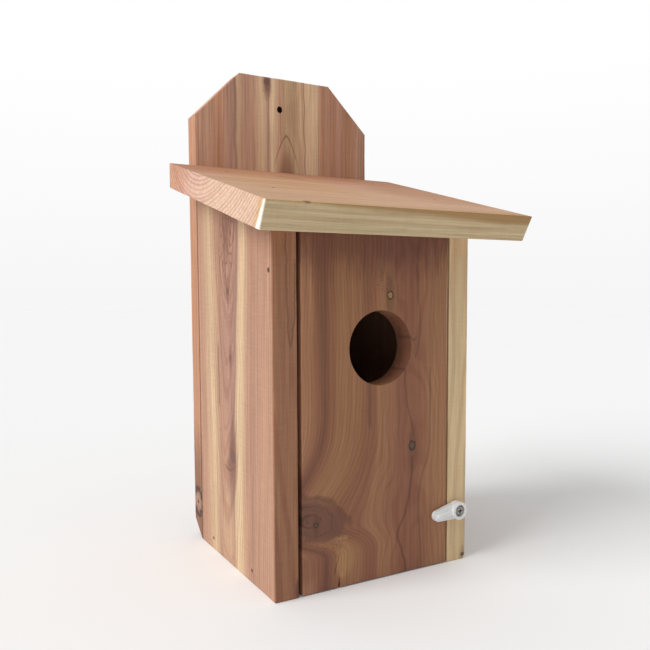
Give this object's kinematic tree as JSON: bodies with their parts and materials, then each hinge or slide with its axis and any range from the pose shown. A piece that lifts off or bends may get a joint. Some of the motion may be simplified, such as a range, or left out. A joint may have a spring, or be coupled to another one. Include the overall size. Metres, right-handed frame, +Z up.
{
  "type": "birdhouse",
  "caption": "Cedar nest box with a tall back board, a roof sloping to the front, a round entrance and a front door that swings up and is held by a turn button.",
  "frame": {"origin": "on the ground, under the middle of the overall width and depth", "axes": "+Z up, +X to the viewer's right across the front, +Y from the front door to the back board"},
  "size_m": [0.1524, 0.1396, 0.2794],
  "materials": {
    "cedar_back": "unfinished sawn cedar, reddish with pale streaks",
    "cedar_left": "unfinished sawn cedar, salmon with cream sapwood bands",
    "cedar_right": "unfinished sawn cedar with a cream sapwood front edge",
    "cedar_floor": "unfinished sawn cedar",
    "cedar_roof": "unfinished sawn cedar, pale sapwood front edge",
    "cedar_door": "unfinished sawn cedar, reddish brown with small knots",
    "nail_steel": "bright wire nail",
    "screw_steel": "zinc plated",
    "button_plastic": "white moulded plastic"
  },
  "bodies": {
    "box": {"back_board": "cedar_back", "left_side": "cedar_left", "right_side": "cedar_right", "floor_board": "cedar_floor", "roof": "cedar_roof", "left_pivot_nail": "nail_steel", "right_pivot_nail": "nail_steel", "turn_button_screw": "screw_steel", "left_floor_nails": "nail_steel", "right_floor_nails": "nail_steel", "left_back_nails": "nail_steel", "right_back_nails": "nail_steel", "back_floor_nails": "nail_steel", "left_roof_nails": "nail_steel", "right_roof_nails": "nail_steel", "back_roof_nails": "nail_steel"},
    "door": {"front_door": "cedar_door"},
    "button": {"turn_button": "button_plastic"}
  },
  "joints": [
    {"name": "door_swing", "type": "hinge", "parent": "box", "child": "door", "pos_m": [-0.0014, -0.03865, 0.15858], "axis": [-1, 0, 0], "range_deg": [0, 112]},
    {"name": "button_turn", "type": "hinge", "parent": "box", "child": "button", "pos_m": [0.04935, -0.04285, 0.0294], "axis": [0, -1, 0], "continuous": true}
  ]
}
